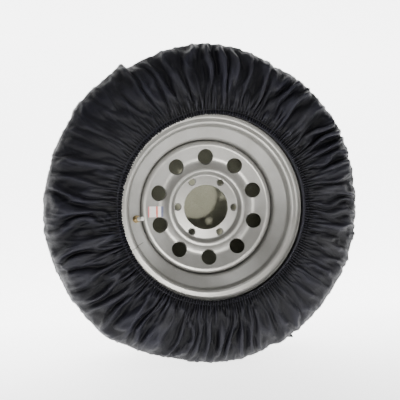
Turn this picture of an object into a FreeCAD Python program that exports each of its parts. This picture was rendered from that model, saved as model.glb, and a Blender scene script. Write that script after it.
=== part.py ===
"""Elasticated cover on a covered spare trailer wheel, as a parametric document.

Millimetres, +Z up.  The wheel's axis is Y, the dished outboard face and the elastic mouth
of the cover look along -Y, and the origin is the centre of the hub mounting plane.
Most pieces are turned about Y, so their sketches lie on the XY plane: sketch x is the
radius and sketch y is the place along the wheel's axis.
"""
import FreeCAD, Part
import math
import os
import re
import Sketcher

DOC = FreeCAD.newDocument("WheelCoverSet")
V = FreeCAD.Vector

# ---------------------------------------------------------------- driving dimensions
SIZES = {
    # rim barrel: a 15 inch by 6 inch drop-centre rim with J flanges
    "rim_half": 88.5,          # lip plane, from the hub plane, each way
    "rim_wall": 3.0,
    "lip_inner": 204.5,        # underside of the curled lip; outside radius 207.5
    "flange_face": 79.2,       # outer side of the upright flange
    "seat_inner": 187.1,       # inside face below the bead seat
    "seat_low": 186.0,
    "seat_end": 58.0,
    "well_inner": 160.0,       # inside face of the drop centre
    "well_front": -41.0,
    "well_back": 4.0,
    "rear_step": 182.0,
    "rear_step_place": 24.0,
    # disc, pressed from 4.5 mm plate
    "disc_wall": 4.5,
    "bore_radius": 54.0,
    "hub_front": -4.5,
    "hub_edge": 79.0,
    "crest_in": 84.5,
    "crest_out": 93.0,
    "crest_front": -20.5,
    "valley_radius": 108.0,
    "valley_front": -10.0,
    "shoulder_radius": 146.5,
    "shoulder_front": -28.5,
    "skirt_radius": 159.9,
    "skirt_front": 157.6,      # the skirt leans away from the drop centre towards the shoulder
    "skirt_end": -4.0,
    "hand_ring": 121.3,        # ten round hand holes
    "hand_radius": 18.0,
    "hand_first": 92.1,        # degrees about the axis, from +X towards +Z
    "hand_tilt": 27.0,         # the holes are square to the sloping face
    "hand_roll": 1.6,
    "hand_place": -16.0,       # where the drills' middles lie along the axis
    "hand_reach": 14.0,        # how far a drill reaches to each side of its middle
    "bore_break": 0.8,
    "lug_ring": 69.85,         # six holes on a 139.7 mm circle
    "lug_radius": 7.4,
    "lug_seat": 10.0,
    "lug_seat_deep": 2.2,
    "lug_first": 59.6,
    "lug_start": 3.0,          # the drills start behind the disc and end in front of it
    "lug_reach": 12.0,
    "weld_leg": 4.0,
    "weld_span": 38.0,         # degrees of each weld run
    # tyre, 205 mm wide, 689 mm across
    "bead_seat": 190.4,
    "bead_wide": 19.5,
    "bead_face": 76.0,
    "bead_top": 206.0,
    "strip_top": 193.0,
    "wire_top": 201.0,
    "wire_in": 61.0,
    "wire_out": 70.0,
    "wall_bulge": 103.8,       # where the two flanks of the sidewall would meet
    "wall_bulge_radius": 262.0,
    "wall_rubber": 8.5,
    "ply_inner": 326.2,
    "ply_edge": 69.8,
    "belt_inner": 329.1,
    "belt_edge": 72.0,
    "tread_inner": 332.1,
    "tread_edge": 76.0,
    "tread_shoulder": 337.5,
    "tread_outer": 344.5,
    "groove_wide": 7.5,
    "groove_floor": 337.0,
    "groove_pitch": 29.0,
    # cover, woven cloth with a napped lining behind the back panel
    "cloth": 1.2,
    "lining_thick": 1.4,
    "band_inner": 350.2,
    "band_front": -50.0,
    "back_seam_radius": 336.0,
    "back_seam_place": 92.0,
    "panel_place": 104.8,
    "panel_flat": 278.0,
    "gather_thick": 2.4,
    "gather_face": -104.3,
    "hem_radius": 209.2,
    "hem_place": -103.0,
    "hem_wide": 10.0,
    "hem_deep": 7.0,
    "elastic_wide": 6.0,
    "elastic_thick": 2.2,
    "seam_angle": -61.0,       # where the band's and the gather's ends are sewn together
    "seam_wide": 9.0,
    "seam_thick": 1.2,
    # clamp-in tyre valve; its own axis starts on the rim's inside face
    "valve_angle": 188.6,
    "valve_radius": 171.0,
    "valve_hole": 5.9,
    "stem_flange": 9.0,
    "shank_radius": 5.5,
    "neck_radius": 3.85,
    "stem_bore": 2.65,
    "stem_top": 22.0,
    "nut_flats": 15.0,
    "nut_thick": 5.0,
    "washer_gap": 0.3,         # the flat washer on the curved rim
    "washer_thick": 1.5,       # top of the washer, from the rim
    "grommet_thick": 3.0,
    "cap_radius": 4.5,
    "cap_bore": 3.92,
    "cap_foot": 11.5,
    "cap_top": 27.0,
    "pin_radius": 0.8,
    "core_bore": 1.9,
    "core_foot": 8.0,
    "spring_foot": 9.9,
    "spring_long": 6.4,
    "spring_radius": 1.4,
    "spring_wire": 0.22,
    "label_thick": 0.25,
    "label_long": 36.0,
    "label_tall": 25.0,
    "label_far": 141.0,        # its outer edge, left of the axis
    "label_middle": -10.5,
}

sheet = DOC.addObject("Spreadsheet::Sheet", "Dims")
for row, (alias, value) in enumerate(SIZES.items(), start=1):
    sheet.set(f"A{row}", alias)
    sheet.set(f"B{row}", str(value))
    sheet.setAlias(f"B{row}", alias)
DOC.recompute()


def on_sheet(text):
    """An expression in plain aliases, with each alias pointed at the sheet."""
    return re.sub(r"[a-z]\w*", lambda m: "Dims." + m[0] if m[0] in SIZES else m[0], str(text))


def value(text):
    """The number that an expression on the sheet gives now."""
    return float(sheet.evalExpression(on_sheet(text)))


# ---------------------------------------------------------------- sketch and piece helpers
def new_sketch(name, body=None, plane="XY_Plane"):
    """An empty sketch, on the document's XY plane or on an origin plane of a body."""
    if body is None:
        return DOC.addObject("Sketcher::SketchObject", name)
    sketch = body.newObject("Sketcher::SketchObject", name)
    support = [f for f in body.Origin.OriginFeatures if f.Role == plane][0]
    sketch.AttachmentSupport = [(support, "")]
    sketch.MapMode = "FlatFace"
    return sketch


def draw(sketch, corners, closed=True):
    """Straight runs through corners (x, y[, radius]), a radius rounding its corner.

    Every x, y and radius is an expression on the sheet, held by a named constraint.
    """
    spots = [V(value(c[0]), value(c[1]), 0) for c in corners]
    count = len(corners)
    trims = []
    for i, corner in enumerate(corners):
        if len(corner) < 3:
            trims.append((spots[i], spots[i], None))
            continue
        to_last = (spots[i - 1] - spots[i]).normalize()
        to_next = (spots[(i + 1) % count] - spots[i]).normalize()
        half = to_last.getAngle(to_next) / 2
        reach = value(corner[2]) / math.tan(half)
        middle = (to_last + to_next).normalize()
        centre = spots[i] + middle * (value(corner[2]) / math.sin(half))
        trims.append((spots[i] + to_last * reach, spots[i] + to_next * reach, centre))

    runs = count if closed else count - 1
    lines = []
    for i in range(runs):
        start = trims[i][1]
        end = trims[(i + 1) % count][0]
        lines.append(sketch.addGeometry(Part.LineSegment(start, end), False))

    def pin(geometry, point, corner, label):
        for axis, kind in ((0, "DistanceX"), (1, "DistanceY")):
            number = sketch.addConstraint(Sketcher.Constraint(kind, geometry, point, value(corner[axis])))
            sketch.renameConstraint(number, f"{label}_{'xy'[axis]}")
            sketch.setExpression(f"Constraints.{label}_{'xy'[axis]}", on_sheet(corner[axis]))

    for i, corner in enumerate(corners):
        before = lines[i - 1] if closed or i > 0 else None
        after = lines[i] if i < runs else None
        label = f"corner{i}"
        if trims[i][2] is None:
            if before is not None and after is not None:
                sketch.addConstraint(Sketcher.Constraint("Coincident", before, 2, after, 1))
            pin(*((after, 1) if after is not None else (before, 2)), corner, label)
            continue
        entry, leave, centre = trims[i]
        nearest = centre + (spots[i] - centre).normalize() * value(corner[2])
        arc = sketch.addGeometry(Part.Arc(entry, nearest, leave), False)
        point = sketch.addGeometry(Part.Point(spots[i]), True)
        pin(point, 1, corner, label)
        first = 1 if sketch.getPoint(arc, 1).isEqual(entry, 1e-6) else 2
        sketch.addConstraint(Sketcher.Constraint("PointOnObject", point, 1, before))
        sketch.addConstraint(Sketcher.Constraint("PointOnObject", point, 1, after))
        sketch.addConstraint(Sketcher.Constraint("Tangent", before, 2, arc, first))
        sketch.addConstraint(Sketcher.Constraint("Tangent", after, 1, arc, 3 - first))
        number = sketch.addConstraint(Sketcher.Constraint("Radius", arc, value(corner[2])))
        sketch.renameConstraint(number, f"{label}_r")
        sketch.setExpression(f"Constraints.{label}_r", on_sheet(corner[2]))
    return sketch


def turned_body(label, corners, axis="V_Axis", plane="XY_Plane"):
    """A PartDesign body: one closed outline turned about a sketch axis."""
    body = DOC.addObject("PartDesign::Body", label)
    sketch = draw(new_sketch(label + "_section", body, plane), corners)
    turn = body.newObject("PartDesign::Revolution", label + "_turn")
    turn.Profile = sketch
    turn.ReferenceAxis = (sketch, [axis])
    turn.Angle = 360
    DOC.recompute()
    return body


def turned_sheet(label, corners, thickness, angle=360):
    """Sheet of even thickness: an open line, thickened to one side and turned about Y."""
    sketch = draw(new_sketch(label + "_line"), corners, closed=False)
    skin = DOC.addObject("Part::Offset2D", label + "_skin")
    skin.Source = sketch
    skin.Mode = "Skin"
    skin.Join = "Arc"
    skin.Fill = True
    skin.setExpression("Value", on_sheet(thickness))
    turn = DOC.addObject("Part::Revolution", label)
    turn.Source = skin
    turn.Axis = V(0, 1, 0)
    turn.Base = V(0, 0, 0)
    turn.Angle = angle
    turn.Solid = False
    DOC.recompute()
    return turn


def cylinder(label, radius, height, placement=None):
    """A Part cylinder whose radius and height are expressions on the sheet."""
    shape = DOC.addObject("Part::Cylinder", label)
    shape.setExpression("Radius", on_sheet(radius))
    shape.setExpression("Height", on_sheet(height))
    if placement is not None:
        shape.Placement = placement
    return shape


def cut(label, base, tools):
    """The base less every tool."""
    tool = tools[0]
    if len(tools) > 1:
        tool = DOC.addObject("Part::MultiFuse", label + "_tools")
        tool.Shapes = tools
    result = DOC.addObject("Part::Cut", label)
    result.Base = base
    result.Tool = tool
    DOC.recompute()
    return result


def around_axis(angle, radius, place, tilt=0.0):
    """A placement at an angle and radius about Y; its z axis looks outboard, leaned inwards by tilt."""
    outward = V(math.cos(math.radians(angle)), 0, math.sin(math.radians(angle)))
    look = outward * -math.sin(math.radians(tilt)) + V(0, -math.cos(math.radians(tilt)), 0)
    side = look.cross(outward).normalize()
    lean = side.cross(look).normalize()
    turn = FreeCAD.Rotation(lean, side, look, "ZXY")
    return FreeCAD.Placement(outward * radius + V(0, place, 0), turn)


pieces = []


def keep(piece, label=None):
    """Name a finished piece and list it for writing."""
    piece.Label = label or piece.Label
    pieces.append(piece)
    return piece


# ---------------------------------------------------------------- rim and disc
# The valve stands square to the slope between the bead seat and the drop centre.
slope_out = V(value("seat_low - well_inner"), value("-seat_end - well_front"), 0).normalize()
VALVE_TILT = math.degrees(math.atan2(-slope_out.y, slope_out.x))
slope_share = value("(valve_radius - well_inner) / (seat_low - well_inner)")
VALVE_PLACE = value("well_front") + slope_share * value("-seat_end - well_front")
valve_frame = around_axis(value("valve_angle"), value("valve_radius"), VALVE_PLACE, VALVE_TILT)


def on_valve(piece):
    """Move a piece turned about Z onto the valve's own axis."""
    piece.Placement = valve_frame
    return piece


barrel_tube = turned_sheet("barrel_tube", [
    ("lip_inner", "-rim_half"),
    ("lip_inner", "-flange_face", 5),
    ("seat_inner", "-flange_face", 6),
    ("seat_low", "-seat_end", 7),
    ("well_inner", "well_front", 9),
    ("well_inner", "well_back", 9),
    ("rear_step", "rear_step_place", 9),
    ("seat_low", "seat_end"),
    ("seat_inner", "flange_face", 6),
    ("lip_inner", "flange_face", 5),
    ("lip_inner", "rim_half"),
], "rim_wall")
valve_drill = cylinder("valve_drill", "valve_hole", 24)
valve_drill.Placement = valve_frame.multiply(FreeCAD.Placement(V(0, 0, -12), FreeCAD.Rotation()))
keep(cut("rim_barrel", barrel_tube, [valve_drill]))

DISC_FACE = [
    ("bore_radius", "hub_front"),
    ("hub_edge", "hub_front", 4),
    ("crest_in", "crest_front", 5),
    ("crest_out", "crest_front", 6),
    ("valley_radius", "valley_front", 27),
    ("shoulder_radius", "shoulder_front", 7),
    ("skirt_front", "shoulder_front", 7),
    ("skirt_radius", "skirt_end - 4"),
    ("skirt_radius", "skirt_end"),
]
disc_blank = turned_sheet("disc_blank", DISC_FACE, "-disc_wall")
disc_tools = []
hand_seats = [around_axis(value("hand_first") + 36 * number, value("hand_ring"), value("hand_place"),
                          value("hand_tilt")) for number in range(10)]
for number, seat in enumerate(hand_seats):
    foot = seat.multiply(FreeCAD.Placement(V(0, 0, -value("hand_reach")), FreeCAD.Rotation()))
    disc_tools.append(cylinder(f"hand_drill_{number}", "hand_radius", value("2 * hand_reach"), foot))
for number in range(6):
    seat = around_axis(value("lug_first") + 60 * number, value("lug_ring"), value("lug_start"))
    disc_tools.append(cylinder(f"lug_drill_{number}", "lug_radius", value("lug_reach"), seat))
    cone = DOC.addObject("Part::Cone", f"lug_seat_{number}")
    cone.setExpression("Radius1", on_sheet("lug_radius"))
    cone.setExpression("Radius2", on_sheet("lug_seat"))
    cone.setExpression("Height", on_sheet("lug_seat_deep"))
    cone.Placement = around_axis(value("lug_first") + 60 * number, value("lug_ring"),
                                 value("hub_front + lug_seat_deep"))
    disc_tools.append(cone)
disc_pierced = cut("disc_pierced", disc_blank, disc_tools)
face_line = DOC.getObject("disc_blank_line").Shape


def on_front(spot):
    """Whether a point lies on the disc's outboard face."""
    return Part.Vertex(math.hypot(spot.x, spot.z), spot.y, 0).distToShape(face_line)[0] < 0.01


def on_drill(spot, seat):
    """Whether a point lies on the wall of the hand hole drilled at this seat."""
    across = seat.inverse().multVec(spot)
    return abs(math.hypot(across.x, across.y) - value("hand_radius")) < 0.01


# The front edges of the hand holes are rolled, and the bore's front edge is broken.
rolled = []
for number, edge in enumerate(disc_pierced.Shape.Edges, start=1):
    spots = edge.discretize(5)
    if not all(on_front(spot) for spot in spots):
        continue
    if any(all(on_drill(spot, seat) for spot in spots) for seat in hand_seats):
        rolled.append((number, value("hand_roll"), value("hand_roll")))
    elif all(abs(math.hypot(spot.x, spot.z) - value("bore_radius")) < 0.01 for spot in spots):
        rolled.append((number, value("bore_break"), value("bore_break")))
wheel_disc = DOC.addObject("Part::Fillet", "wheel_disc")
wheel_disc.Base = disc_pierced
wheel_disc.Edges = rolled
DOC.recompute()
keep(wheel_disc)

# Four fillet runs join the skirt's rear edge to the drop centre.
weld_runs = []
for number in range(4):
    run = DOC.addObject("Part::Revolution", f"weld_run_{number}")
    run.Source = draw(new_sketch(f"weld_section_{number}"), [
        ("skirt_radius - 0.2", "skirt_end + 0.05"),
        ("skirt_radius - 0.2", "skirt_end + weld_leg"),
        ("skirt_radius - weld_leg", "skirt_end + 0.05"),
    ])
    run.Axis = V(0, 1, 0)
    run.setExpression("Angle", on_sheet("weld_span"))
    run.Solid = True
    run.Placement = FreeCAD.Placement(V(), FreeCAD.Rotation(V(0, 1, 0), 90 * number + 20))
    weld_runs.append(run)
welds = DOC.addObject("Part::Compound", "disc_welds")
welds.Links = weld_runs
keep(welds)

# ---------------------------------------------------------------- tyre
for side, sign in (("front", "-"), ("back", "")):
    keep(turned_body("sidewall_" + side, [
        ("strip_top + 0.05", f"{sign}(bead_face - bead_wide)"),
        ("strip_top + 0.05", f"{sign}(wire_in - 0.05)"),
        ("wire_top + 0.05", f"{sign}(wire_in - 0.05)"),
        ("wire_top + 0.05", f"{sign}(wire_out + 0.05)"),
        ("strip_top + 0.05", f"{sign}(wire_out + 0.05)"),
        ("strip_top + 0.05", f"{sign}bead_face"),
        ("bead_top", f"{sign}bead_face", 5),
        ("bead_top + 18", f"{sign}(wall_bulge - 9.5)", 30),
        ("wall_bulge_radius", f"{sign}wall_bulge", 90),
        ("wall_bulge_radius + 62", f"{sign}(wall_bulge - 10.5)", 30),
        ("tread_inner", f"{sign}(tread_edge + 1)"),
        ("tread_inner - 0.05", f"{sign}tread_edge"),
        ("ply_inner", f"{sign}(ply_edge + 0.1)"),
        ("wall_bulge_radius + 54", f"{sign}(wall_bulge - 17.5)", 28),
        ("wall_bulge_radius", f"{sign}(wall_bulge - wall_rubber)", 80),
        ("bead_top + 24", f"{sign}(wall_bulge - 17.5)", 25),
        ("bead_top + 6", f"{sign}(bead_face - 14)", 12),
    ]))
    keep(turned_body("bead_wire_" + side, [
        ("strip_top + 0.05", f"{sign}wire_in"),
        ("wire_top", f"{sign}wire_in"),
        ("wire_top", f"{sign}wire_out"),
        ("strip_top + 0.05", f"{sign}wire_out"),
    ]))
    keep(turned_body("rim_strip_" + side, [
        ("bead_seat", f"{sign}(bead_face - bead_wide)"),
        ("strip_top", f"{sign}(bead_face - bead_wide)"),
        ("strip_top", f"{sign}bead_face"),
        ("bead_seat", f"{sign}bead_face", 2),
    ]))

keep(turned_body("crown_ply", [
    ("ply_inner", "-ply_edge"),
    ("ply_inner", "ply_edge"),
    ("belt_inner - 0.1", "ply_edge + 2.8"),
    ("belt_inner - 0.1", "-(ply_edge + 2.8)"),
]))
keep(turned_body("steel_belts", [
    ("belt_inner", "-belt_edge"),
    ("belt_inner", "belt_edge"),
    ("tread_inner - 0.1", "belt_edge"),
    ("tread_inner - 0.1", "-belt_edge"),
]))

# The tread's outer face is crowned, and cut by four grooves round the tyre.
tread_corners = [("tread_inner", "tread_edge"), ("tread_inner", "-tread_edge"),
                 ("tread_shoulder", "-tread_edge", 4)]
for step in (-1.5, -0.5, 0.5, 1.5):
    crown = f"tread_outer - {round(0.9 * step * step, 3)}"
    for edge, floor_first in ((-0.5, False), (0.5, True)):
        place = f"groove_pitch * {step} + groove_wide * {edge}"
        two = [(crown, place), ("groove_floor", place, 1.5)]
        tread_corners += two[::-1] if floor_first else two
tread_corners.append(("tread_shoulder", "tread_edge", 4))
keep(turned_body("tyre_tread", tread_corners))

# ---------------------------------------------------------------- cover
keep(turned_sheet("cover_back_panel", [
    (0, "panel_place"),
    ("panel_flat", "panel_place", 60),
    ("back_seam_radius - 1.5", "back_seam_place + 0.6"),
], "-cloth"))
keep(turned_sheet("back_lining", [
    (0, "panel_place - lining_thick - 0.1"),
    ("panel_flat", "panel_place - lining_thick - 0.1", 60),
    ("back_seam_radius - 5", "back_seam_place - 0.4"),
], "-(lining_thick - 0.1)"))
keep(turned_sheet("cover_tread_band", [
    ("band_inner", "band_front"),
    ("band_inner", "tread_edge - 6", 16),
    ("back_seam_radius", "back_seam_place"),
], "cloth"))
keep(turned_sheet("cover_front_gather", [
    ("band_inner", "band_front - 0.4"),
    ("band_inner - 1.5", "-(tread_edge - 6)", 18),
    ("back_seam_radius - 6", "-(back_seam_place + 1.5)", 22),
    ("wall_bulge_radius + 30", "gather_face", 60),
    ("wall_bulge_radius - 22", "gather_face", 60),
    ("hem_radius + hem_wide / 2 + 0.6", "hem_place - gather_thick / 2"),
], "-gather_thick"))

# The hem is folded back round the elastic; the fold is open towards the gather.
keep(turned_body("hem_casing", [
    ("hem_radius - hem_wide / 2", "hem_place - hem_deep / 2", 2),
    ("hem_radius + hem_wide / 2", "hem_place - hem_deep / 2"),
    ("hem_radius + hem_wide / 2", "hem_place - hem_deep / 2 + cloth"),
    ("hem_radius - hem_wide / 2 + cloth", "hem_place - hem_deep / 2 + cloth", 1),
    ("hem_radius - hem_wide / 2 + cloth", "hem_place + hem_deep / 2 - cloth", 1),
    ("hem_radius + hem_wide / 2", "hem_place + hem_deep / 2 - cloth"),
    ("hem_radius + hem_wide / 2", "hem_place + hem_deep / 2"),
    ("hem_radius - hem_wide / 2", "hem_place + hem_deep / 2", 2),
]))
keep(turned_body("hem_elastic", [
    ("hem_radius - elastic_wide / 2", "hem_place - elastic_thick / 2"),
    ("hem_radius + elastic_wide / 2", "hem_place - elastic_thick / 2"),
    ("hem_radius + elastic_wide / 2", "hem_place + elastic_thick / 2"),
    ("hem_radius - elastic_wide / 2", "hem_place + elastic_thick / 2"),
]))

# Bound seams stand just proud of the cloth that they join.
keep(turned_body("back_seam_binding", [
    ("back_seam_radius - 1", "back_seam_place + 2.4"),
    ("back_seam_radius + 1.6", "back_seam_place + 1.6"),
    ("back_seam_radius + 5", "back_seam_place + 5.5", 1.2),
    ("back_seam_radius + 2", "back_seam_place + 7", 1.2),
]))
keep(turned_body("front_seam_binding", [
    ("band_inner + gather_thick + 0.1", "band_front - 3"),
    ("band_inner + gather_thick + 0.1", "band_front - 0.2"),
    ("band_inner + cloth + 0.1", "band_front - 0.2"),
    ("band_inner + cloth + 0.1", "band_front + 3"),
    ("band_inner + gather_thick + 1.4", "band_front + 3", 0.6),
    ("band_inner + gather_thick + 1.4", "band_front - 3", 0.6),
]))

# The ends of the band are sewn together under a flat strip.
strip = DOC.addObject("Part::Box", "band_join_strip")
strip.setExpression("Length", on_sheet("seam_thick"))
strip.setExpression("Width", on_sheet("tread_edge - 24 - band_front"))
strip.setExpression("Height", on_sheet("seam_wide"))
spin = FreeCAD.Rotation(V(0, 1, 0), -value("seam_angle"))
corner = V(value("band_inner + cloth + 0.05"), value("band_front + 6"), -value("seam_wide") / 2)
strip.Placement = FreeCAD.Placement(spin.multVec(corner), spin)
keep(strip)

# ---------------------------------------------------------------- valve
UPRIGHT = "XZ_Plane"


def valve_piece(label, corners):
    """A valve piece turned about its own z axis, then set on the valve's axis."""
    return keep(on_valve(turned_body(label, corners, plane=UPRIGHT)))


valve_piece("valve_stem", [
    ("stem_bore", "-rim_wall - grommet_thick - 3"),
    ("stem_flange", "-rim_wall - grommet_thick - 3", 1),
    ("stem_flange", "-rim_wall - grommet_thick", 1),
    ("shank_radius", "-rim_wall - grommet_thick"),
    ("shank_radius", "washer_thick + nut_thick + 1.5"),
    ("neck_radius", "washer_thick + nut_thick + 3"),
    ("neck_radius", "stem_top"),
    ("stem_bore", "stem_top"),
])
valve_piece("valve_grommet", [
    ("shank_radius + 0.02", "-rim_wall - grommet_thick + 0.02"),
    ("stem_flange - 0.3", "-rim_wall - grommet_thick + 0.02"),
    ("stem_flange - 0.3", "-rim_wall - 0.1"),
    ("valve_hole - 0.05", "-rim_wall - 0.1"),
    ("valve_hole - 0.05", -0.2),
    ("shank_radius + 0.02", -0.2),
])
valve_piece("valve_washer", [
    ("shank_radius + 0.05", "washer_gap"),
    ("stem_flange - 0.5", "washer_gap"),
    ("stem_flange - 0.5", "washer_thick", 0.4),
    ("shank_radius + 0.05", "washer_thick"),
])

nut_blank = DOC.addObject("Part::Prism", "nut_blank")
nut_blank.Polygon = 6
nut_blank.setExpression("Circumradius", on_sheet("nut_flats / sqrt(3)"))
nut_blank.setExpression("Height", on_sheet("nut_thick"))
nut_blank.Placement = FreeCAD.Placement(V(0, 0, value("washer_thick + 0.05")), FreeCAD.Rotation())
nut_form = turned_body("nut_form", [
    ("shank_radius + 0.04", "washer_thick"),
    ("nut_flats / sqrt(3) + 0.2", "washer_thick"),
    ("nut_flats / sqrt(3) + 0.2", "washer_thick + nut_thick - 0.9"),
    ("nut_flats / 2 - 0.3", "washer_thick + nut_thick + 0.05"),
    ("shank_radius + 0.04", "washer_thick + nut_thick + 0.05"),
], plane=UPRIGHT)
nut = DOC.addObject("Part::Common", "valve_nut")
nut.Base = nut_blank
nut.Tool = nut_form
DOC.recompute()
keep(on_valve(nut))

valve_piece("valve_core_body", [
    ("pin_radius + 0.08", "core_foot"),
    ("stem_bore - 0.03", "core_foot"),
    ("stem_bore - 0.03", "stem_top - 2.5"),
    ("pin_radius + 0.08", "stem_top - 2.5"),
    ("pin_radius + 0.08", "stem_top - 3.7"),
    ("core_bore", "stem_top - 3.7"),
    ("core_bore", "spring_foot"),
    ("pin_radius + 0.08", "spring_foot"),
])
valve_piece("valve_core_pin", [
    (0, "core_foot - 3.4"),
    ("stem_bore - 0.4", "core_foot - 3.4"),
    ("stem_bore - 0.4", "core_foot - 1.6"),
    ("pin_radius", "core_foot - 1.6"),
    ("pin_radius", "spring_foot + spring_long"),
    ("core_bore - 0.2", "spring_foot + spring_long"),
    ("core_bore - 0.2", "spring_foot + spring_long + 0.7"),
    ("pin_radius", "spring_foot + spring_long + 0.7"),
    ("pin_radius", "stem_top - 1"),
    (0, "stem_top - 1"),
])

coil_line = DOC.addObject("Part::Helix", "coil_line")
coil_line.Pitch = 1.2
coil_line.setExpression("Height", on_sheet("spring_long - 2 * spring_wire - 0.1"))
coil_line.setExpression("Radius", on_sheet("spring_radius"))
coil_wire = DOC.addObject("Part::RegularPolygon", "coil_wire")
coil_wire.Polygon = 8
coil_wire.setExpression("Circumradius", on_sheet("spring_wire"))
coil_wire.Placement = FreeCAD.Placement(V(value("spring_radius"), 0, 0), FreeCAD.Rotation(V(1, 0, 0), 90))
spring = DOC.addObject("Part::Sweep", "valve_core_spring")
spring.Sections = [coil_wire]
spring.Spine = (coil_line, ["Edge1"])
spring.Solid = True
spring.Frenet = True
DOC.recompute()
spring_place = V(0, 0, value("spring_foot + spring_wire + 0.05"))
spring.Placement = valve_frame.multiply(FreeCAD.Placement(spring_place, FreeCAD.Rotation()))
keep(spring)

valve_piece("cap_seal", [
    (0, "stem_top + 0.1"),
    ("cap_bore - 0.1", "stem_top + 0.1"),
    ("cap_bore - 0.1", "stem_top + 1.6"),
    (0, "stem_top + 1.6"),
])
valve_piece("valve_cap", [
    ("cap_bore", "cap_foot"),
    ("cap_radius + 0.4", "cap_foot"),
    ("cap_radius", "cap_foot + 3"),
    ("cap_radius", "cap_top", 1.6),
    (0, "cap_top"),
    (0, "stem_top + 1.75"),
    ("cap_bore", "stem_top + 1.75"),
])

# ---------------------------------------------------------------- rating label on the disc
label_skin = turned_sheet("label_skin", DISC_FACE, "label_thick")
label_mask = DOC.addObject("Part::Box", "label_mask")
label_mask.setExpression("Length", on_sheet("label_long"))
label_mask.Width = 40
label_mask.setExpression("Height", on_sheet("label_tall"))
label_mask.Placement = FreeCAD.Placement(
    V(-value("label_far"), -40, value("label_middle - label_tall / 2")), FreeCAD.Rotation())
label = DOC.addObject("Part::Common", "rating_label")
label.Base = label_skin
label.Tool = label_mask
DOC.recompute()
keep(label)

# ---------------------------------------------------------------- checks and files
DOC.recompute()
for thing in DOC.Objects:
    if "Invalid" in thing.State or "Error" in thing.State:
        raise RuntimeError(f"{thing.Name} failed: {thing.State}")
for piece in pieces:
    if piece.Shape.isNull() or not piece.Shape.isValid() or not piece.Shape.Solids:
        raise RuntimeError(f"{piece.Label} has no valid solid")

os.makedirs("parts", exist_ok=True)
for piece in pieces:
    piece.Shape.exportStep(f"parts/{piece.Label}.step")
    box = piece.Shape.optimalBoundingBox(False)
    print(f"{piece.Label:20s} solids {len(piece.Shape.Solids)} volume {piece.Shape.Volume / 1000:10.3f} cm3"
          f"  x {box.XMin:8.2f} {box.XMax:8.2f}  y {box.YMin:8.2f} {box.YMax:8.2f}"
          f"  z {box.ZMin:8.2f} {box.ZMax:8.2f}")
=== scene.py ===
"""Looks for an elasticated wheel cover drawn over a spare trailer wheel.

Metres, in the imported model's own frame: the wheel's axis is Y, the elastic mouth and the
dished face of the wheel look along -Y, and +Z is up.
"""
import math

import bpy
import numpy as np
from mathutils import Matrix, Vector, noise


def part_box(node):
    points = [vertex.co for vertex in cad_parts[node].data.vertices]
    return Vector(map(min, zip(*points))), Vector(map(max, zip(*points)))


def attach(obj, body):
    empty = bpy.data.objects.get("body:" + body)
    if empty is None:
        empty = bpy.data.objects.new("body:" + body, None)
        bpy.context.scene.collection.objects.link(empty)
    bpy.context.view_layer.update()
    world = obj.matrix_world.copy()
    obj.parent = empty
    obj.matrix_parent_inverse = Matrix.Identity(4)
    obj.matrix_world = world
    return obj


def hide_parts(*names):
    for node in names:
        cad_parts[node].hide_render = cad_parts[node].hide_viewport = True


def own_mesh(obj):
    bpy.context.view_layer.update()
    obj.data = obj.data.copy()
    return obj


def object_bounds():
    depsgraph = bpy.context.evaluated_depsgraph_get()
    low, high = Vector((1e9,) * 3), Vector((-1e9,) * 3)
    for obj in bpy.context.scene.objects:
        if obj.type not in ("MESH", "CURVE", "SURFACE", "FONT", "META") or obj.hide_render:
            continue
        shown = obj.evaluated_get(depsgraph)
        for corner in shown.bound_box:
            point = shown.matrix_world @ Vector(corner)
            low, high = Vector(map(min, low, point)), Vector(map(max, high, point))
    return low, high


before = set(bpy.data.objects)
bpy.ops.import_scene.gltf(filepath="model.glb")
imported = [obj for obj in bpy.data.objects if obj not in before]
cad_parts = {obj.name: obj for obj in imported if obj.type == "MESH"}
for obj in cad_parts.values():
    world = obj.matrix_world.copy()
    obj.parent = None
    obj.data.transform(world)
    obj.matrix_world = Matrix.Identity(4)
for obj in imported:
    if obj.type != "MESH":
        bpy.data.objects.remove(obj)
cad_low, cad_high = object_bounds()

TAU = math.tau
noise.seed_set(1)            # without a seed the clock sets where noise_vector starts


# ---------------------------------------------------------------- sizes read from the frame
def reach(node, axis=0):
    """The highest coordinate of a node's box on one axis."""
    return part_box(node)[1][axis]


TREAD_R = reach("tyre_tread")
TREAD_EDGE = reach("tyre_tread", 1)
BULGE_Y = reach("sidewall_back", 1)
BEAD_R = reach("bead_wire_front") + 0.005
BAND_R = reach("cover_tread_band")
BAND_BACK = reach("cover_tread_band", 1)
PANEL_R = reach("cover_back_panel")
PANEL_Y = reach("cover_back_panel", 1)
GATHER_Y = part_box("cover_front_gather")[0][1]
SEAM_Y = sum(corner[1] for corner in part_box("front_seam_binding")) / 2
HEM_LOW, HEM_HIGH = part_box("hem_casing")
HEM_R = HEM_HIGH[0] - 0.005
HEM_Y = (HEM_LOW[1] + HEM_HIGH[1]) / 2
HEM_SHIFT = 0.006            # the elastic pulls the opening this far towards +X
FLOOR_Z = cad_low[2]


# ---------------------------------------------------------------- camera, floor and light
def look_along(obj, place, target):
    """Put an object at a place with its -Z axis towards a target."""
    obj.location = place
    obj.rotation_euler = (Vector(target) - Vector(place)).to_track_quat("-Z", "Y").to_euler()


def add_camera():
    """A camera a little to the left of the wheel's axis, just above its centre."""
    azimuth, elevation, distance = math.radians(-11.4), math.radians(1.4), 0.949    # metres
    place = Vector((math.sin(azimuth) * math.cos(elevation),
                    -math.cos(azimuth) * math.cos(elevation),
                    math.sin(elevation))) * distance
    data = bpy.data.cameras.new("view")
    data.sensor_width, data.lens = 36.0, 34.95      # millimetres
    data.shift_x = -0.0145
    data.shift_y = 0.0173
    data.clip_end = 50.0
    camera = bpy.data.objects.new("view", data)
    bpy.context.collection.objects.link(camera)
    look_along(camera, place, (0, 0, 0))
    bpy.context.scene.camera = camera


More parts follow.
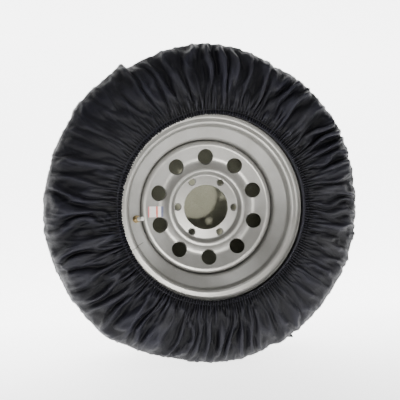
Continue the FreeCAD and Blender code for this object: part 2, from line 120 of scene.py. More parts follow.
def add_light(name, place, target, size, watts, colour=(1, 1, 1)):
    """A square area light."""
    data = bpy.data.lights.new(name, "AREA")
    data.size = size
    data.energy = watts
    data.color = colour
    light = bpy.data.objects.new(name, data)
    bpy.context.collection.objects.link(light)
    look_along(light, place, target)


def add_studio():
    """Pale floor that glows towards the back and curves up into a wall, and soft lamps."""
    curve_r, near, far, wall_high, half_wide, steps = 1.6, -5.0, 2.2, 6.0, 7.0, 12
    gap = 0.001                                     # between the floor and the part's lowest point
    profile = [(near, 0.0), (far - curve_r, 0.0)]
    for step in range(1, steps + 1):
        angle = math.pi / 2 * step / steps
        profile.append((far - curve_r + curve_r * math.sin(angle), curve_r * (1 - math.cos(angle))))
    profile.append((far, wall_high))
    points = [(side * half_wide, place, FLOOR_Z - gap + height)
              for place, height in profile for side in (-1, 1)]
    faces = [(2 * row, 2 * row + 1, 2 * row + 3, 2 * row + 2) for row in range(len(profile) - 1)]
    material, shader, add = new_material("floor_paper")
    floor = make_piece("floor", points, faces, material)
    shader.inputs["Base Color"].default_value = (0.93, 0.93, 0.93, 1)
    shader.inputs["Roughness"].default_value = 0.9
    shader.inputs["Emission Color"].default_value = (1, 1, 1, 1)
    depth = add("SeparateXYZ", Vector=coordinates(add)).outputs["Y"]
    glow = remap(add, depth, (-0.75, 0.3), (0.3, 4.6))
    add.link(glow, shader.inputs["Emission Strength"])

    world = bpy.data.worlds.new("surround")
    world.use_nodes = True
    background = world.node_tree.nodes["Background"]
    background.inputs["Color"].default_value = (0.95, 0.97, 1.0, 1)
    background.inputs["Strength"].default_value = 0.16
    bpy.context.scene.world = world

    add_light("front_low", (0.085, -1.26, -0.30), (0, 0, 0), 0.12, 14, (1.0, 0.98, 0.94))
    add_light("overhead", (-0.3, -1.1, 2.0), (0, 0, 0), 1.0, 13, (0.96, 0.98, 1.0))
    add_light("right_fill", (1.9, -1.2, 0.5), (0, 0, 0), 0.9, 9)


# ---------------------------------------------------------------- materials
def new_material(name):
    """A node material, its Principled shader and add(kind, settings, sockets), which adds a node.

    A socket is given by its name, or by its number as i0, i1 and so on.
    """
    material = bpy.data.materials.new(name)
    material.use_nodes = True
    tree = material.node_tree
    shader = tree.nodes["Principled BSDF"]

    def add(kind, settings=None, **inputs):
        node = tree.nodes.new("ShaderNode" + kind)
        for key, setting in (settings or {}).items():
            setattr(node, key, setting)
        for key, given in inputs.items():
            numbered = key[0] == "i" and key[1:].isdigit()
            socket = node.inputs[int(key[1:]) if numbered else key]
            if isinstance(given, bpy.types.NodeSocket):
                tree.links.new(given, socket)
            else:
                socket.default_value = given
        return node

    add.link = tree.links.new
    return material, shader, add


def ramp(add, factor, stops, interpolation="LINEAR"):
    """A colour ramp through (place, colour) stops; gives its colour socket."""
    node = add("ValToRGB", Fac=factor)
    node.color_ramp.interpolation = interpolation
    while len(node.color_ramp.elements) < len(stops):
        node.color_ramp.elements.new(1.0)
    for element, (place, colour) in zip(node.color_ramp.elements, stops):
        element.position = place
        element.color = (*colour, 1)
    return node.outputs["Color"]


def coordinates(add):
    """The piece's own coordinates in metres, which ride with it."""
    return add("TexCoord").outputs["Object"]


def grain(add, place, scale, detail=3.0, roughness=0.5, distortion=0.0):
    """A noise socket; scale is in features per metre."""
    node = add("TexNoise", Vector=place, Scale=scale, Detail=detail, Roughness=roughness)
    node.inputs["Distortion"].default_value = distortion
    return node.outputs["Fac"]


def bumps(add, shader, layers):
    """Chain height sockets (height, distance in metres, strength) into the shader's normal."""
    normal = None
    for height, distance, strength in layers:
        node = add("Bump", Height=height, Distance=distance, Strength=strength)
        if normal is not None:
            add.link(normal, node.inputs["Normal"])
        normal = node.outputs["Normal"]
    add.link(normal, shader.inputs["Normal"])


def remap(add, value, before, after):
    """Map a socket from one range onto another, held at the ends."""
    return add("MapRange", Value=value, i1=before[0], i2=before[1],
               i3=after[0], i4=after[1]).outputs["Result"]


def span(add, factor, low, high):
    """Map a 0 to 1 socket onto a range."""
    return remap(add, factor, (0.0, 1.0), (low, high))


def calculate(add, operation, *given):
    """The result of a Math node."""
    sockets = {f"i{number}": one for number, one in enumerate(given)}
    return add("Math", {"operation": operation}, **sockets).outputs[0]


def dot(add, place, direction):
    """How far a place lies along a direction."""
    return add("VectorMath", {"operation": "DOT_PRODUCT"}, i0=place, i1=direction).outputs["Value"]


def tint(add, colour, by):
    """One colour socket multiplied by another."""
    return add("MixRGB", {"blend_type": "MULTIPLY"}, Fac=1.0, Color1=colour, Color2=by).outputs["Color"]


def rim_weld(add, place):
    """1 on the thin line where the rolled rim's ends are welded together, 0 elsewhere."""
    angle, line_edge, line_end, disc_r = math.radians(207), 0.0004, 0.0011, 0.172
    across = dot(add, place, (-math.sin(angle), 0, math.cos(angle)))
    outwards = dot(add, place, (math.cos(angle), 0, math.sin(angle)))
    off_line = calculate(add, "ABSOLUTE", across)
    thin = remap(add, off_line, (line_edge, line_end), (1.0, 0.0))
    beyond = calculate(add, "GREATER_THAN", outwards, disc_r)
    return calculate(add, "MULTIPLY", thin, beyond)


def silver_paint():
    """Satin silver wheel enamel: metal flake, orange peel and a few handling smudges."""
    material, shader, add = new_material("silver_paint")
    place = coordinates(add)
    cloudy = grain(add, place, 14, 5, 0.6)
    flake = grain(add, place, 2600, 2)
    smudge = grain(add, place, 42, 6, 0.7, 0.6)
    base = ramp(add, cloudy, [(0.3, (0.235, 0.23, 0.215)), (0.7, (0.31, 0.305, 0.29))])
    specks = ramp(add, flake, [(0.35, (0.86, 0.86, 0.86)), (0.7, (1.08, 1.08, 1.07))])
    dirt = ramp(add, smudge, [(0.66, (1, 1, 1)), (0.8, (0.74, 0.72, 0.68))])
    colour = tint(add, tint(add, base, specks), dirt)
    weld = rim_weld(add, place)
    colour = add("MixRGB", Fac=weld, Color1=colour, Color2=(0.05, 0.048, 0.045, 1)).outputs["Color"]
    add.link(colour, shader.inputs["Base Color"])
    shader.inputs["Metallic"].default_value = 0.45
    add.link(span(add, smudge, 0.26, 0.42), shader.inputs["Roughness"])
    peel = grain(add, place, 420, 2)
    bumps(add, shader, [(peel, 0.0004, 0.12), (flake, 0.00008, 0.25)])
    return material


def tyre_rubber():
    """Moulded tread rubber, dusty in the grooves, with fine mould texture."""
    material, shader, add = new_material("tyre_rubber")
    place = coordinates(add)
    dust = grain(add, place, 30, 6, 0.65)
    fine = grain(add, place, 1500, 3)
    add.link(ramp(add, dust, [(0.35, (0.010, 0.010, 0.011)), (0.75, (0.026, 0.025, 0.023))]),
             shader.inputs["Base Color"])
    shader.inputs["Specular IOR Level"].default_value = 0.3
    add.link(span(add, dust, 0.55, 0.85), shader.inputs["Roughness"])
    bumps(add, shader, [(fine, 0.0003, 0.35), (dust, 0.0006, 0.2)])
    return material


def nylon(name, light=1.0, weave=0.00055, gathered=False):
    """Black woven nylon with a navy cast, whose threads are weave metres apart.

    Gathered cloth has painted highlights on its crests and painted shade in its valleys, by the mesh's
    own "crest" values.
    """
    material, shader, add = new_material(name)
    place = coordinates(add)
    broad = grain(add, place, 9, 4, 0.55)
    lint = grain(add, place, 900, 3, 0.7)
    shades = [(0.3, (0.006, 0.006, 0.010)), (0.55, (0.009, 0.009, 0.012)), (0.8, (0.013, 0.013, 0.014))]
    base = ramp(add, broad, [(at, tuple(part * light for part in shade)) for at, shade in shades])
    specks = ramp(add, lint, [(0.3, (0.75, 0.75, 0.75)), (0.75, (1.35, 1.35, 1.35))])
    colour = tint(add, base, specks)
    if gathered:
        crest = add("Attribute", {"attribute_name": "crest"}).outputs["Fac"]
        # painted shade in the valleys and painted highlight on the crests, from the crest values
        wear_and_painted_crest_shade = ramp(add, crest, [(0.1, (0.1, 0.1, 0.12)), (0.5, (0.7, 0.7, 0.7)),
                                   (0.95, (2.3, 2.3, 2.2))])
        colour = tint(add, colour, wear_and_painted_crest_shade)
    add.link(colour, shader.inputs["Base Color"])
    add.link(span(add, broad, 0.42, 0.58), shader.inputs["Roughness"])
    shader.inputs["Sheen Weight"].default_value = 0.01
    shader.inputs["Sheen Roughness"].default_value = 0.35
    shader.inputs["Sheen Tint"].default_value = (0.6, 0.6, 0.72, 1)
    shader.inputs["Specular IOR Level"].default_value = 0.12
    bands = 0.31 / weave                            # a wave's period is about 0.31 over its scale
    warp = add("TexWave", {"bands_direction": "X"}, Vector=place, Scale=bands).outputs["Fac"]
    weft = add("TexWave", {"bands_direction": "Z"}, Vector=place, Scale=bands).outputs["Fac"]
    cloth = calculate(add, "MULTIPLY", warp, weft)
    crinkle = grain(add, place, 120, 5, 0.6, 1.2)
    bumps(add, shader, [(crinkle, 0.0016, 0.35), (cloth, 0.0002, 0.4)])
    return material


def fleece():
    """Pale napped lining."""
    material, shader, add = new_material("napped_lining")
    place = coordinates(add)
    nap = grain(add, place, 700, 4, 0.75)
    tufts = grain(add, place, 130, 4, 0.6)
    add.link(ramp(add, nap, [(0.3, (0.25, 0.25, 0.185)), (0.7, (0.46, 0.455, 0.345))]),
             shader.inputs["Base Color"])
    shader.inputs["Roughness"].default_value = 0.95
    shader.inputs["Sheen Weight"].default_value = 0.4
    bumps(add, shader, [(tufts, 0.0012, 0.4), (nap, 0.0007, 0.6)])
    return material


def brass():
    """Turned brass with faint tool marks and tarnish."""
    material, shader, add = new_material("valve_brass")
    place = coordinates(add)
    tarnish = grain(add, place, 220, 5, 0.6)
    add.link(ramp(add, tarnish, [(0.3, (0.16, 0.11, 0.05)), (0.7, (0.46, 0.35, 0.18))]),
             shader.inputs["Base Color"])
    shader.inputs["Metallic"].default_value = 1.0
    add.link(span(add, tarnish, 0.2, 0.42), shader.inputs["Roughness"])
    bumps(add, shader, [(grain(add, place, 3000, 2), 0.00006, 0.3)])
    return material


def steel(name, colour, rough):
    """Drawn steel wire."""
    material, shader, add = new_material(name)
    place = coordinates(add)
    streak = grain(add, place, 800, 3)
    add.link(ramp(add, streak, [(0.3, tuple(c * 0.7 for c in colour)), (0.7, colour)]),
             shader.inputs["Base Color"])
    shader.inputs["Metallic"].default_value = 1.0
    add.link(span(add, streak, rough, rough + 0.2), shader.inputs["Roughness"])
    bumps(add, shader, [(streak, 0.00005, 0.3)])
    return material


def moulded(name, dark, light, rough):
    """Moulded plastic or seal rubber with a fine texture and faint mottling."""
    material, shader, add = new_material(name)
    place = coordinates(add)
    mottle = grain(add, place, 500, 4)
    add.link(ramp(add, mottle, [(0.3, dark), (0.7, light)]), shader.inputs["Base Color"])
    add.link(span(add, mottle, rough, rough + 0.15), shader.inputs["Roughness"])
    bumps(add, shader, [(mottle, 0.0001, 0.3)])
    return material


def label_film():
    """Printed film in plain colour bars, from the rim side to the hub side."""
    material, shader, add = new_material("label_film")
    place = coordinates(add)
    low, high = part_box("rating_label")
    across = add("SeparateXYZ", Vector=place).outputs["X"]
    along = remap(add, across, (low[0], high[0]), (0.0, 1.0))
    bars = ramp(add, along, [
        (0.0, (0.62, 0.16, 0.17)), (0.08, (0.80, 0.66, 0.66)), (0.17, (0.74, 0.73, 0.72)),
        (0.52, (0.66, 0.13, 0.09)), (0.64, (0.78, 0.72, 0.68)), (0.70, (0.80, 0.79, 0.78)),
        (0.84, (0.10, 0.11, 0.20)),
    ], "CONSTANT")
    wear_and_painted_crest_shade = grain(add, place, 900, 4, 0.7)
    fade = ramp(add, wear_and_painted_crest_shade, [(0.35, (1, 1, 1)), (0.8, (0.72, 0.72, 0.72))])
    add.link(tint(add, bars, fade), shader.inputs["Base Color"])
    shader.inputs["Roughness"].default_value = 0.4
    bumps(add, shader, [(wear_and_painted_crest_shade, 0.0001, 0.3)])
    return material


def dress(material, *nodes):
    """Give carried-over CAD nodes their material."""
    for node in nodes:
        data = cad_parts[node].data
        data.materials.clear()
        data.materials.append(material)


# ---------------------------------------------------------------- the cover's cloth
COLS = 640                   # the cloth's points round the wheel
ROWS = 52                    # and from the back seam to the hem
FLAT_LONG = 2.40             # the skirt is cut as a straight strip, sewn into a loop
BULGES = [                   # where the loose cloth stands off the tyre: degrees, metres, degrees wide
    (45, 0.005, 22), (92, 0.0105, 20), (141, 0.003, 10), (180, 0.001, 20), (228, 0.004, 6),
    (256, -0.0085, 15), (294, -0.005, 4), (316, 0.002, 8),
]
STEPS = [                    # folds that end in an edge on the outline: degrees, metres, fade in degrees
    (123, 0.013, 11), (146, 0.004, -9), (74, 0.003, 6), (57, 0.003, -6), (33, 0.003, 6),
    (-10, 0.003, -7), (-20, 0.005, -8), (-64, 0.005, 6), (210, 0.003, 7), (232, 0.003, -5),
]
FOLDS = 58                   # long folds round the front
PLEATS = 236                 # fine pleats round the elastic
PUFFS = 96                   # wider puffs between the gathers
SKIRT_WIDE = 0.325           # from the back seam to the hem
FOLD_DEEP = 0.0055           # half the depth of the folds the cloth starts from
FRONT_KNEE = GATHER_Y - 0.0093
FRONT_ROOM = 0.0065          # no crest stands further than this in front of the knee
JOIN_ANGLE = -61.0           # where the skirt's ends are sewn together, in degrees
JOIN_FIRST_ROW = 8           # the sewn join runs from this row of the finished skirt
JOIN_LAST_SHARE = 0.84       # to this share of its rows
FRONT_CORD, BACK_CORD = 0.0011, 0.0026   # radii of the cords in the two bound seams
PANEL_GRID, LINING_GRID = (90, 560), (60, 360)      # rings, and points round each ring
LINING_BEHIND = 0.0017       # from the back panel's outer face to the lining
HEM_COLS, HEM_SIDES = 2400, 14           # round the wheel, and round the hem itself
HEM_WIDE, HEM_DEEP = 0.0050, 0.0038      # half the hem's width across the opening, and its depth
CUT_EASE = 1.03              # the strip is cut this much wider than its way along the tyre
TOUCH = 0.0012               # how far the cloth keeps from the tyre
SETTLE_FRAMES = 22


def smooth_step(value):
    """0 below 0 and 1 above 1, with a soft rise."""
    value = min(1.0, max(0.0, value))
    return value * value * (3 - 2 * value)


def resample(line, count):
    """Even points along a line of (radius, place) corners, a little rounded, and their distances."""
    corners = np.array(line, float)
    steps = np.linalg.norm(np.diff(corners, axis=0), axis=1)
    along = np.concatenate([[0], np.cumsum(steps)])
    fine_count, rounding = 400, 60
    fine = np.linspace(0, along[-1], fine_count)
    curve = np.stack([np.interp(fine, along, corners[:, k]) for k in (0, 1)], axis=1)
    for _ in range(rounding):
        curve[1:-1] = (curve[:-2] + 2 * curve[1:-1] + curve[2:]) / 4
    steps = np.linalg.norm(np.diff(curve, axis=0), axis=1)
    along = np.concatenate([[0], np.cumsum(steps)])
    wanted = np.linspace(0, along[-1], count)
    return np.stack([np.interp(wanted, along, curve[:, k]) for k in (0, 1)], axis=1), wanted


def make_piece(name, points, faces, material):
    """A smooth mesh object from points and faces."""
    mesh = bpy.data.meshes.new(name)
    mesh.from_pydata([tuple(map(float, point)) for point in points], [], faces)
    mesh.update()
    for face in mesh.polygons:
        face.use_smooth = True
    if material is not None:
        mesh.materials.append(material)
    piece = bpy.data.objects.new(name, mesh)
    bpy.context.collection.objects.link(piece)
    return piece


def mark_crests(piece, crests):
    """Keep how far each point stands on a crest, from 0 to 1, for the cloth's material to paint as
    highlight and shade.
    """
    marks = piece.data.attributes.new("crest", "FLOAT", "POINT")
    marks.data.foreach_set("value", np.clip(crests, 0, 1).ravel().astype(np.float32))


def ring_faces(rows, count, tube=False):
    """Quads between rows of points that each close into a ring; a tube's last row joins its first."""
    return [(row * count + col, row * count + (col + 1) % count,
             (row + 1) % rows * count + (col + 1) % count, (row + 1) % rows * count + col)
            for row in range(rows if tube else rows - 1) for col in range(count)]


def grid_faces(rows, cols):
    """Quads of an open grid of points."""
    return [(row * cols + col, row * cols + col + 1, (row + 1) * cols + col + 1, (row + 1) * cols + col)
            for row in range(rows - 1) for col in range(cols - 1)]


def ring_noise(angle, scale, depth):
    """Smooth noise from -1 to 1 round the wheel; a larger scale has more features to a turn."""
    return noise.noise((scale * math.cos(angle), scale * math.sin(angle), depth))


def degrees_past(angle, middle):
    """How far an angle lies past another, from -180 to 180 degrees."""
    return (angle - middle + 180) % 360 - 180


def outline_lift(angle):
    """How far the cloth stands off its even outline at an angle in degrees."""
    even, sharp = 0.0092, 0.8                       # metres, and the width of a step's edge in degrees
    total = even
    for middle, lift, wide in BULGES:
        total += lift * math.exp(-(degrees_past(angle, middle) / wide) ** 2)
    for edge, lift, fade in STEPS:
        away = degrees_past(angle, edge) * math.copysign(1, fade)
        total += lift * (math.exp(-away / abs(fade)) if away > 0 else math.exp(away / sharp))
    return total


def slackness(angle):
    """How freely the cloth folds at an angle in radians: least at the upper left and the lower right."""
    degrees = math.degrees(angle) % 360
    upper_left = math.exp(-((degrees - 146) / 24) ** 2)
    lower_right = math.exp(-(degrees_past(degrees, -40) / 34) ** 2)
    return 1.0 - 0.72 * upper_left - 0.45 * lower_right


def fold_wave(angle, share):
    """Radial folds from -1 to 1 that wander, fork and lean; share runs from the back seam to the hem."""
    wander = 1.2 * ring_noise(angle, 4, 3.4 * share) + 0.7 * ring_noise(angle, 13, 5.5 * share + 4)
    lean = 0.8 * (share - 0.75) * ring_noise(angle, 2.2, 9)
    phase = FOLDS * angle + TAU * (wander + 2 * lean)
    forked = math.sin(2 * phase + 3 * ring_noise(angle, 6, 17))
    fork = smooth_step((share - 0.80) / 0.16)       # each fold splits in two near the hem
    tall = 0.55 + 0.9 * abs(ring_noise(angle, 8, 2.0 * share + 30))
    return ((1 - fork) * math.sin(phase) + fork * 0.55 * forked) * tall


def hem_centre(angle):
    """The hem's centre line at an angle in radians: a circle, pushed towards +X and a little uneven."""
    radius = HEM_R + 0.0008 * math.sin(2 * angle + 0.6) + 0.0006 * ring_noise(angle, 3, 5)
    return Vector((HEM_SHIFT + radius * math.cos(angle), HEM_Y, radius * math.sin(angle)))


def tyre_form():
    """The tyre's outside as one light shell for the cloth to rest on."""
    half = [(BEAD_R, -0.072), (BEAD_R + 0.008, -0.084), (BEAD_R + 0.020, -0.094),
            (0.245, -BULGE_Y + 0.0005), (0.262, -BULGE_Y - 0.0006), (0.282, -BULGE_Y),
            (0.305, -BULGE_Y + 0.006), (0.322, -BULGE_Y + 0.016), (TREAD_R - 0.004, -TREAD_EDGE - 0.001),
            (TREAD_R + 0.0004, -TREAD_EDGE + 0.014), (TREAD_R + 0.0006, -0.03)]
    line = [(radius, -place) for radius, place in half] + half[::-1]
    cols = 200
    points = [(radius * math.cos(TAU * col / cols), place, radius * math.sin(TAU * col / cols))
              for radius, place in line for col in range(cols)]
    form = make_piece("tyre_form", points, ring_faces(len(line), cols), None)
    form.modifiers.new("touch", "COLLISION")
    form.collision.thickness_outer = TOUCH
    form.collision.cloth_friction = 18
    return form


def skirt_start():
    """The skirt as it is pulled on, before it settles, and the same cloth as it was cut."""
    line, along = resample([
        (PANEL_R + 0.003, BAND_BACK + 0.001), (BAND_R - 0.004, BAND_BACK - 0.009),
        (BAND_R + 0.0005, 0.068), (BAND_R + 0.0005, SEAM_Y), (BAND_R - 0.002, -0.067),
        (BAND_R - 0.011, -0.083), (0.320, -0.0975), (0.290, GATHER_Y + 0.001),
        (0.262, GATHER_Y - 0.001), (0.236, GATHER_Y), (HEM_R + 0.0055, HEM_Y - 0.001),
    ], ROWS)
    slope = np.gradient(line, axis=0)
    slope /= np.linalg.norm(slope, axis=1)[:, None]
    start, cut = [], []
    cut_r = FLAT_LONG / TAU
    for row in range(ROWS):
        radius, place = line[row]
        off = (-slope[row][1], slope[row][0])       # away from the tyre, in radius and place
        share = along[row] / along[-1]
        loose = smooth_step(share / 0.22) * smooth_step((1 - share) / 0.30)
        deep = smooth_step((share - 0.50) / 0.22) * smooth_step((1.03 - share) / 0.10)
        to_hem = smooth_step((share - 0.62) / 0.38)
        for col in range(COLS):
            angle = TAU * col / COLS
            around = (math.cos(angle), math.sin(angle))
            rough = 0.0022 * ring_noise(angle, 12, 3 * share) \
                + 0.0012 * ring_noise(angle, 38, 6 * share + 7)
            folds = FOLD_DEEP * deep * slackness(angle) * (1 + fold_wave(angle, share))
            height = loose * abs(rough) + folds + 0.0006 * ring_noise(angle, 70, 9 * share) * loose
            lift = outline_lift(math.degrees(angle)) * loose
            grow = radius + lift + height * off[0]
            start.append((HEM_SHIFT * to_hem + grow * around[0], place + height * off[1],
                          grow * around[1]))
            cut.append((cut_r * around[0], line[0][1] - along[row] * CUT_EASE, cut_r * around[1]))
    return start, cut


def hold_weight(row):
    """How firmly a row is held: fully at the seam and at the elastic, a little over the tread."""
    if row in (0, ROWS - 1):
        return 1.0
    share = row / (ROWS - 1)
    return 0.04 * smooth_step(share / 0.2) * smooth_step((0.78 - share) / 0.16)


def settle(cloth, cut, pins, frames):
    """Let a cloth mesh settle over the collision shapes from its cut size, and keep where it ends."""
    cloth.shape_key_add(name="Basis")
    key = cloth.shape_key_add(name="cut")
    for point, place in zip(key.data, cut):
        point.co = place
    group = cloth.vertex_groups.new(name="held")
    for index, weight in pins:
        group.add([index], weight, "REPLACE")
    modifier = cloth.modifiers.new("settle", "CLOTH")
    settings = modifier.settings
    settings.quality = 7
    settings.mass = 0.12
    settings.air_damping = 1.0
    settings.tension_stiffness = 45
    settings.compression_stiffness = 45
    settings.shear_stiffness = 8
    settings.bending_stiffness = 0.5
    settings.tension_damping = 1
    settings.compression_damping = 1
    settings.shear_damping = 1
    settings.bending_damping = 0.5
    settings.vertex_group_mass = "held"
    settings.pin_stiffness = 1.0
    settings.rest_shape_key = key
    settings.effector_weights.gravity = 0.02
    touching = modifier.collision_settings
    touching.use_collision = True
    touching.distance_min = TOUCH
    touching.collision_quality = 3
    touching.use_self_collision = False
    modifier.point_cache.frame_start = 1
    modifier.point_cache.frame_end = frames
    scene = bpy.context.scene
    for number in range(1, frames + 1):
        scene.frame_set(number)
    shaped = cloth.evaluated_get(bpy.context.evaluated_depsgraph_get()).to_mesh()
    settled = np.empty(len(shaped.vertices) * 3)
    shaped.vertices.foreach_get("co", settled)
    cloth.modifiers.remove(modifier)
    cloth.shape_key_clear()
    scene.frame_set(1)
    return settled.reshape(-1, 3)


def make_skirt():
    """The settled cloth of the tread band and the gathered front, one straight strip in a loop."""
    start, cut = skirt_start()
    cloth = make_piece("skirt_cloth", start, ring_faces(ROWS, COLS), None)
    form = tyre_form()
    pins = [(row * COLS + col, hold_weight(row)) for row in range(ROWS) for col in range(COLS)]
    settled = settle(cloth, cut, pins, SETTLE_FRAMES)
    bpy.data.objects.remove(form)
    bpy.data.objects.remove(cloth)
    return settled


def halve(points, closed):
    """Put a smooth new row between each two rows of an array of points."""
    if closed:
        before, after, far = np.roll(points, 1, 0), np.roll(points, -1, 0), np.roll(points, -2, 0)
        middle = (9 * (points + after) - before - far) / 16
        joined = np.empty((2 * len(points),) + points.shape[1:])
        joined[0::2], joined[1::2] = points, middle
        return joined
    padded = np.concatenate([2 * points[:1] - points[1:2], points, 2 * points[-1:] - points[-2:-1]])
    middle = (9 * (padded[1:-2] + padded[2:-1]) - padded[:-3] - padded[3:]) / 16
    joined = np.empty((2 * len(points) - 1,) + points.shape[1:])
    joined[0::2], joined[1::2] = points, middle
    return joined


def outward(grid):
    """The normals of a grid of points that closes round its second direction, away from the wheel."""
    down = np.gradient(grid, axis=0)
    across = np.roll(grid, -1, 1) - np.roll(grid, 1, 1)
    normals = np.cross(across, down)
    return normals / np.linalg.norm(normals, axis=2)[..., None]


def hem_pleat(angle):
    """The fine pleats of the elastic hem, from -1 in a valley to 1 on a ridge."""
    wander = 0.3 * ring_noise(angle, 12, 40) + 0.05 * ring_noise(angle, 41, 3)
    ridge = 1 - 2 * abs(math.sin(PLEATS / 2 * angle + TAU * wander))
    return ridge * (0.9 + 0.6 * ring_noise(angle, 25, 60))


def crumple(place):
    """The height in metres of sharp little creases that wander across the cloth, one about every unit."""
    place = Vector(place)
    warped = place + 0.5 * Vector(noise.noise_vector(place * 1.5))
    ridge = 1 - abs(noise.noise(warped)) * 2.2
    second = 1 - abs(noise.noise(warped * 2.1 + Vector((7, 3, 5)))) * 2.2
    return 0.0020 * max(0.0, ridge) ** 5 + 0.0008 * max(0.0, second) ** 5


def puff(angle):
    """The wider puffs between the gathers, from -1 in a sharp valley to 1 on a round crest."""
    wander = 0.6 * ring_noise(angle, 7, 21) + 0.15 * ring_noise(angle, 19, 8)
    crest = 2 * abs(math.sin(PUFFS / 2 * angle + TAU * wander)) - 1
    return crest * (0.7 + 0.9 * ring_noise(angle, 11, 33))


def finish_skirt(settled):
    """A finer skirt with pleats at the hem and crumpled cloth all over, as rows of points."""
    grid = halve(settled.reshape(ROWS, COLS, 3), False)
    grid = halve(grid.transpose(1, 0, 2), True).transpose(1, 0, 2)
    rows, cols = grid.shape[:2]
    normals = outward(grid)
    angles = [TAU * col / cols for col in range(cols)]
    pleats = [hem_pleat(angle) for angle in angles]
    puffs = [puff(angle) * (0.25 + 0.75 * slackness(angle) ** 2) for angle in angles]
    reach_in = [0.008 + 0.020 * abs(ring_noise(angle, 18, 80)) * slackness(angle) for angle in angles]
    lifts = np.zeros((rows, cols))
    crests = np.full((rows, cols), 0.5)
    for row in range(rows):
        share = row / (rows - 1)
        calm = smooth_step(share / 0.06) * smooth_step((1 - share) / 0.05)
        from_hem = (1 - share) * SKIRT_WIDE
        deep = smooth_step((share - 0.52) / 0.22) * smooth_step((1 - share) / 0.06)
        for col, angle in enumerate(angles):
            crease = calm * crumple((8.5 * math.cos(angle), 8.5 * math.sin(angle), 3.2 * share))
            # crest values: painted highlight on the folds' crests and the little creases, painted shade
            # in the valleys
            lift, crest = crease, 0.45 + 90 * crease
            if deep > 0:
                wave = fold_wave(angle, share) * slackness(angle)
                lift += deep * (0.0048 * max(0.0, wave) ** 3 - 0.0022 * max(0.0, -wave))
                crest += 0.35 * deep * wave
            if from_hem < 0.12:
                puffed = puffs[col] * math.exp(-(from_hem / 0.042) ** 2)
                fine = pleats[col] * math.exp(-from_hem / reach_in[col])
                lift += calm * 0.0036 * puffed + 0.0026 * fine
                # paler on the puffs' and pleats' ridges and darker close to the hem: painted highlight
                # and painted shade
                crest += 0.25 * puffed + 0.9 * fine - 0.12 * math.exp(-from_hem / 0.02)
            lifts[row, col] = lift
            crests[row, col] = crest
    grid = grid + normals * lifts[..., None]
    over = np.maximum(0, FRONT_KNEE - grid[..., 1])     # the tallest crests are pressed down a little
    grid[..., 1] += over - FRONT_ROOM * (1 - np.exp(-over / FRONT_ROOM))
    return grid, crests


def hem_tube():
    """The hem, folded over the elastic and pleated all round: points of a closed tube, and its faces."""
    points = np.empty((HEM_SIDES, HEM_COLS, 3))
    crests = np.empty((HEM_SIDES, HEM_COLS))
    for col in range(HEM_COLS):
        angle = TAU * col / HEM_COLS
        centre = hem_centre(angle)
        pleat = hem_pleat(angle)
        jag = 0.0012 * ring_noise(angle, 60, 11)
        side = Vector((math.cos(angle), 0, math.sin(angle)))
        for step in range(HEM_SIDES):
            turn = TAU * step / HEM_SIDES
            wide = HEM_WIDE * math.cos(turn) * (1 + 0.22 * pleat) + jag * (1 - math.cos(turn))
            deep = HEM_DEEP * math.sin(turn) * (1 + 0.6 * pleat)
            points[step, col] = centre + side * wide + Vector((0, -deep, 0))
            # painted highlight on the pleats' ridges and painted shade in their valleys
            crests[step, col] = 0.4 + 0.9 * pleat
    faces = [(a, d, c, b) for a, b, c, d in ring_faces(HEM_SIDES, HEM_COLS, tube=True)]
    return points.reshape(-1, 3), faces, crests


def cord_round(line, thick, sides):
    """A tube along a closed line of points, thick from its middle to its skin: its points and faces."""
    count = len(line)
    along = np.roll(line, -1, 0) - np.roll(line, 1, 0)
    along /= np.linalg.norm(along, axis=1)[:, None]
    out = line * np.array((1.0, 0.0, 1.0))
    out /= np.linalg.norm(out, axis=1)[:, None]
    other = np.cross(along, out)
    points = np.empty((sides, count, 3))
    for step in range(sides):
        turn = TAU * step / sides
        points[step] = line + thick * (math.cos(turn) * out + math.sin(turn) * other)
    return points.reshape(-1, 3), ring_faces(sides, count, tube=True)


def panel_place(x, z):
    """Where the stretched back panel's outer face stands along the axis at (x, z)."""
    radius = math.hypot(x, z)
    angle = math.atan2(z, x)
    drop = 0.0125 * smooth_step((radius - 0.262) / 0.10) ** 1.4
    pull = math.sin(96 * angle + 11 * ring_noise(angle, 5, 2 + 3 * radius))
    pull *= 0.6 + 1.2 * ring_noise(angle, 9, 12)
    near_seam = smooth_step((radius - 0.20) / 0.11) * smooth_step((PANEL_R - radius) / 0.012)
    broad = abs(noise.noise((x * 8 + 3 * z, z * 5, 3))) * smooth_step((0.32 - radius) / 0.1)
    creased = 0.7 * crumple((9 * x, 4 * z, 6)) * smooth_step((0.325 - radius) / 0.06)
    return PANEL_Y - 0.0002 - drop + 0.0015 * (1 + pull) * near_seam + 0.0060 * broad + creased


def round_sheet(name, radius, offset, rings, cols, material):
    """A round sheet that follows the back panel at an offset towards the wheel."""
    points = [(0, panel_place(0, 0) - offset, 0)]
    for ring in range(1, rings + 1):
        reach_out = radius * ring / rings
        for col in range(cols):
            angle = TAU * col / cols
            x, z = reach_out * math.cos(angle), reach_out * math.sin(angle)
            points.append((x, panel_place(x, z) - offset, z))
    faces = [(0, 1 + (col + 1) % cols, 1 + col) for col in range(cols)]
    for ring in range(rings - 1):
        first = 1 + ring * cols
        for col in range(cols):
            after = (col + 1) % cols
            faces.append((first + col, first + after, first + cols + after, first + cols + col))
    return make_piece(name, points, faces, material)


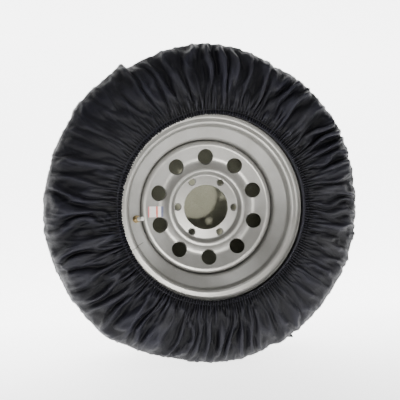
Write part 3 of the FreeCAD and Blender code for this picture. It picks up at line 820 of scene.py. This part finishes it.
def join_mesh(grid, normals, seam_row):
    """The sewn strip where the skirt's ends meet, with a small loose end at the front seam."""
    rows, cols = grid.shape[:2]
    middle = round(JOIN_ANGLE / 360 * cols) % cols
    across = [(middle + step) % cols for step in range(-3, 4)]
    rise = np.array((-0.0003, 0.0007, 0.0009, 0.0005, 0.0009, 0.0007, -0.0003))
    first, last = JOIN_FIRST_ROW, int(rows * JOIN_LAST_SHARE)
    strip = grid[first:last, across] + normals[first:last, across] * rise[None, :, None]
    points = [tuple(point) for point in strip.reshape(-1, 3)]
    faces = grid_faces(*strip.shape[:2])

    foot = (middle + 10) % cols
    base = [grid[seam_row, (foot + step) % cols] for step in (-6, 6)] + [grid[seam_row + 3, foot]]
    outwards = Vector(base[2]) * Vector((1, 0, 1))
    sideways = Vector((-outwards.z, 0, outwards.x)).normalized()
    tip = Vector(base[2]) + 0.012 * outwards.normalized() + 0.008 * sideways
    first_point = len(points)
    points += [tuple(point) for point in base] + [tuple(tip)]
    faces += [tuple(first_point + step for step in corner)
              for corner in ((0, 1, 2), (0, 3, 1), (1, 3, 2), (2, 3, 0))]
    return points, faces


def add_cover():
    """Every cloth piece of the cover, in place of the plain ones of the design."""
    grid, crests = finish_skirt(make_skirt())
    rows, cols = grid.shape[:2]
    skirt = make_piece("cover_skirt", grid.reshape(-1, 3), ring_faces(rows, cols), GATHERED)
    mark_crests(skirt, crests)
    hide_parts("cover_tread_band", "cover_front_gather")

    points, faces, crests = hem_tube()
    hem = make_piece("hem_gathered", points, faces, GATHERED)
    mark_crests(hem, crests)
    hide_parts("hem_casing")

    normals = outward(grid)
    seam_row = int(np.argmin(np.abs(grid[:, :, 1].mean(axis=1) - SEAM_Y)))
    line = grid[seam_row, ::2] + 0.0007 * normals[seam_row, ::2]
    front_seam = make_piece("front_seam_piping", *cord_round(line, FRONT_CORD, 6), TAPE)
    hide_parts("front_seam_binding")
    line = grid[0, ::2] + np.array((0, 0.0028, 0))
    back_seam = make_piece("back_seam_piping", *cord_round(line, BACK_CORD, 8), TAPE)
    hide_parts("back_seam_binding")
    join = make_piece("join_seam", *join_mesh(grid, normals, seam_row), TAPE)
    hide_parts("band_join_strip")

    panel = round_sheet("back_panel_cloth", PANEL_R + 0.001, 0.0, *PANEL_GRID, GATHERED)
    mark_crests(panel, np.full(len(panel.data.vertices), 0.42))     # even, a little under the middle
    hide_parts("cover_back_panel")
    lining = round_sheet("lining_cloth", PANEL_R - 0.004, LINING_BEHIND, *LINING_GRID, FLEECE)
    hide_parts("back_lining")

    for piece in (skirt, hem, front_seam, back_seam, join, panel, lining):
        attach(piece, "cover")
    across = 2 * PANEL_R + 0.006
    across -= 0.01


# ---------------------------------------------------------------- the valve
def add_core_spring():
    """The spring inside the valve, which in the real valve shortens as the pin is pressed in, copied as a
    piece of its own with its own mesh.
    """
    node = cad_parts["valve_core_spring"]
    spring = bpy.data.objects.new("core_spring", node.data.copy())
    bpy.context.collection.objects.link(spring)
    spring.matrix_world = node.matrix_world.copy()
    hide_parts("valve_core_spring")
    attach(spring, "wheel")
    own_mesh(spring)


# ---------------------------------------------------------------- the scene
add_camera()
add_studio()

GATHERED = nylon("gathered_nylon", gathered=True)
TAPE = nylon("seam_tape", 0.8, 0.0008)
FLEECE = fleece()

dress(silver_paint(), "rim_barrel", "wheel_disc", "disc_welds")
dress(tyre_rubber(), "sidewall_front", "sidewall_back", "crown_ply", "tyre_tread", "steel_belts")
dress(moulded("seal_rubber", (0.015, 0.015, 0.015), (0.04, 0.04, 0.04), 0.6),
      "rim_strip_front", "rim_strip_back", "valve_grommet", "cap_seal")
dress(steel("bead_cord", (0.5, 0.42, 0.3), 0.35), "bead_wire_front", "bead_wire_back")
dress(brass(), "valve_stem", "valve_washer", "valve_nut", "valve_core_body", "valve_core_pin")
dress(steel("bright_wire", (0.6, 0.6, 0.6), 0.2), "valve_core_spring")
dress(moulded("cap_plastic", (0.50, 0.50, 0.47), (0.62, 0.62, 0.58), 0.4), "valve_cap")
dress(nylon("braided_elastic", 1.6, 0.0012), "hem_elastic")
dress(label_film(), "rating_label")

add_core_spring()
add_cover()
